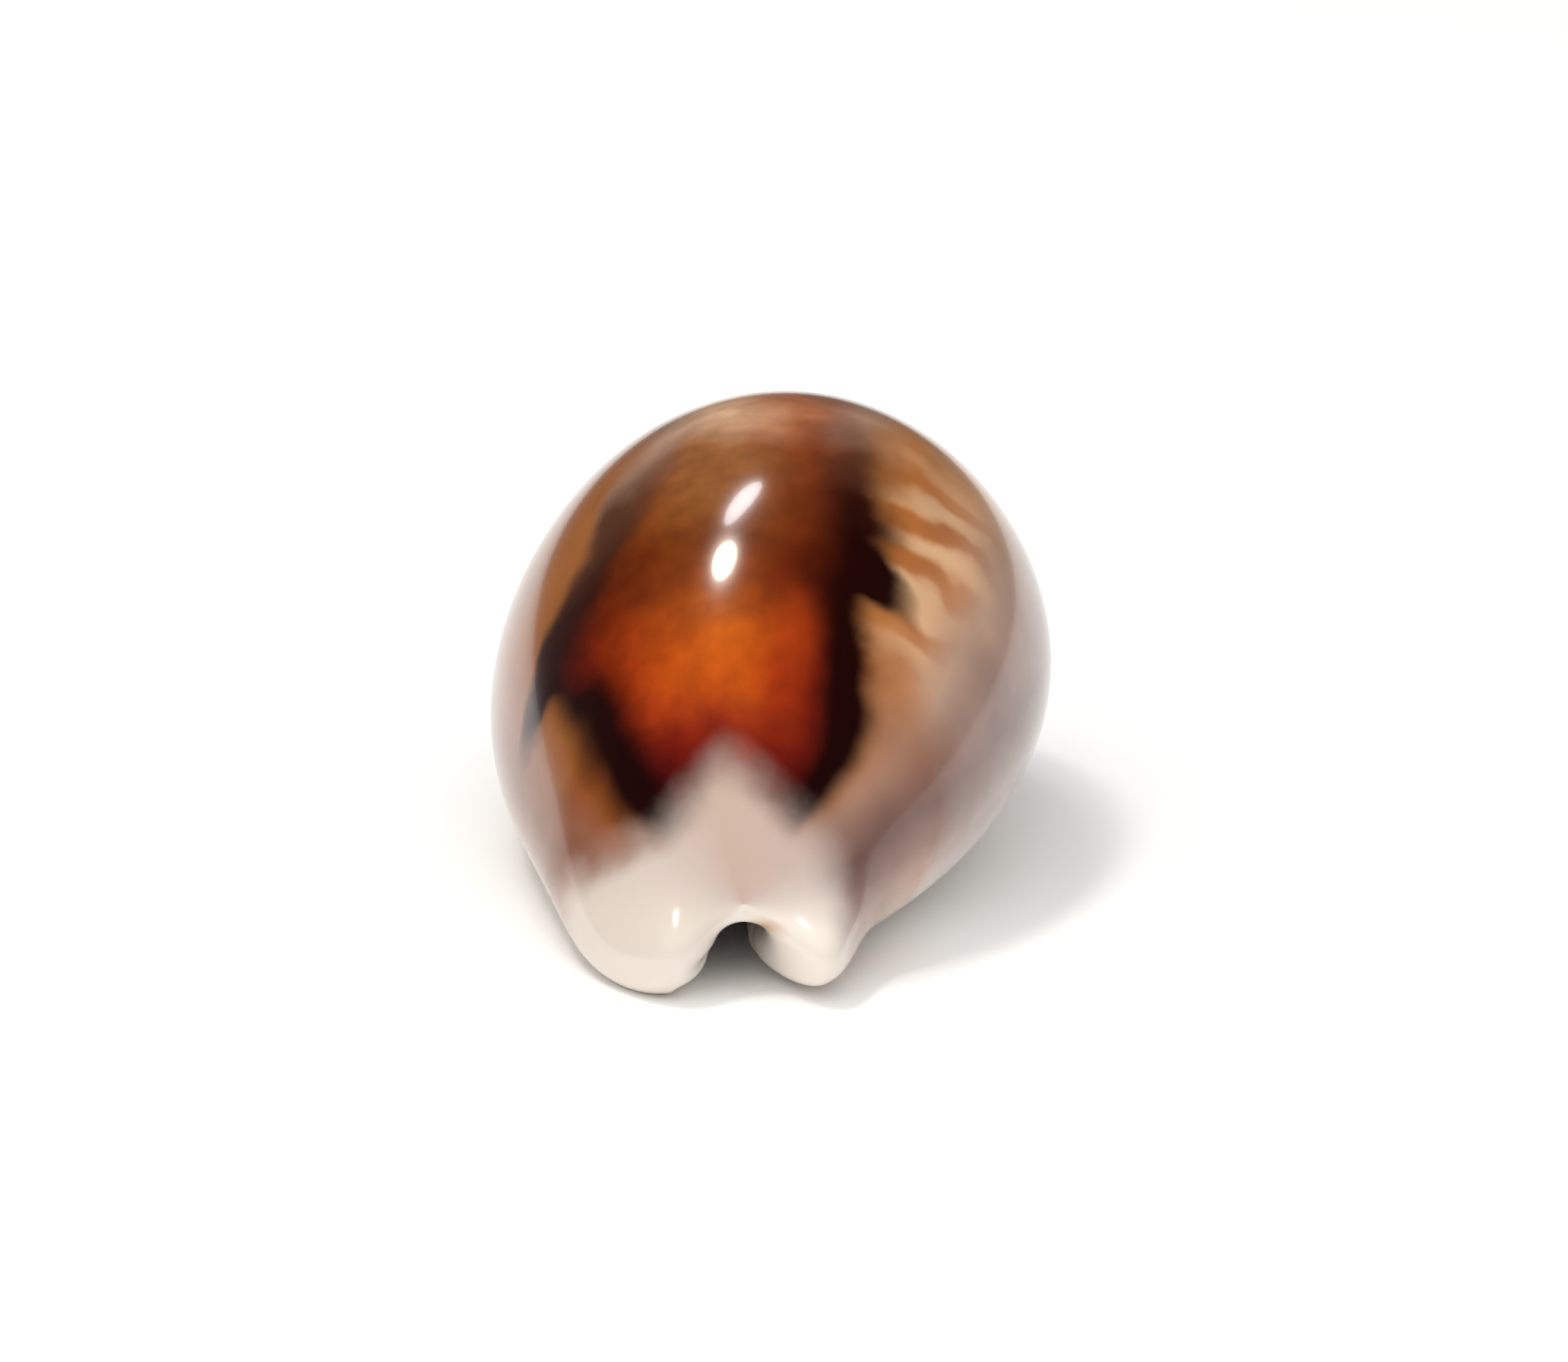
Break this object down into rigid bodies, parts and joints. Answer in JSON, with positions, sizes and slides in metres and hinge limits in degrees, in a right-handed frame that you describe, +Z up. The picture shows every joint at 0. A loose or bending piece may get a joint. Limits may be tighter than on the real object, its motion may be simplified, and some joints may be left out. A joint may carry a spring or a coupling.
{
  "type": "cowrie shell",
  "caption": "Glossy egg-shaped sea shell with a domed back, a flattish base and a narrow toothed aperture along it.",
  "frame": {"origin": "on the resting plane, below the middle of the shell's bounding box", "axes": "+Z up through the crest of the back; Y along the shell, anterior end at -Y and posterior end at +Y; outer lip at -X, inner lip at +X"},
  "size_m": [0.032, 0.0502, 0.0258],
  "materials": {
    "shell": "gloss"
  },
  "bodies": {
    "root": {"shell": "shell"}
  },
  "joints": []
}
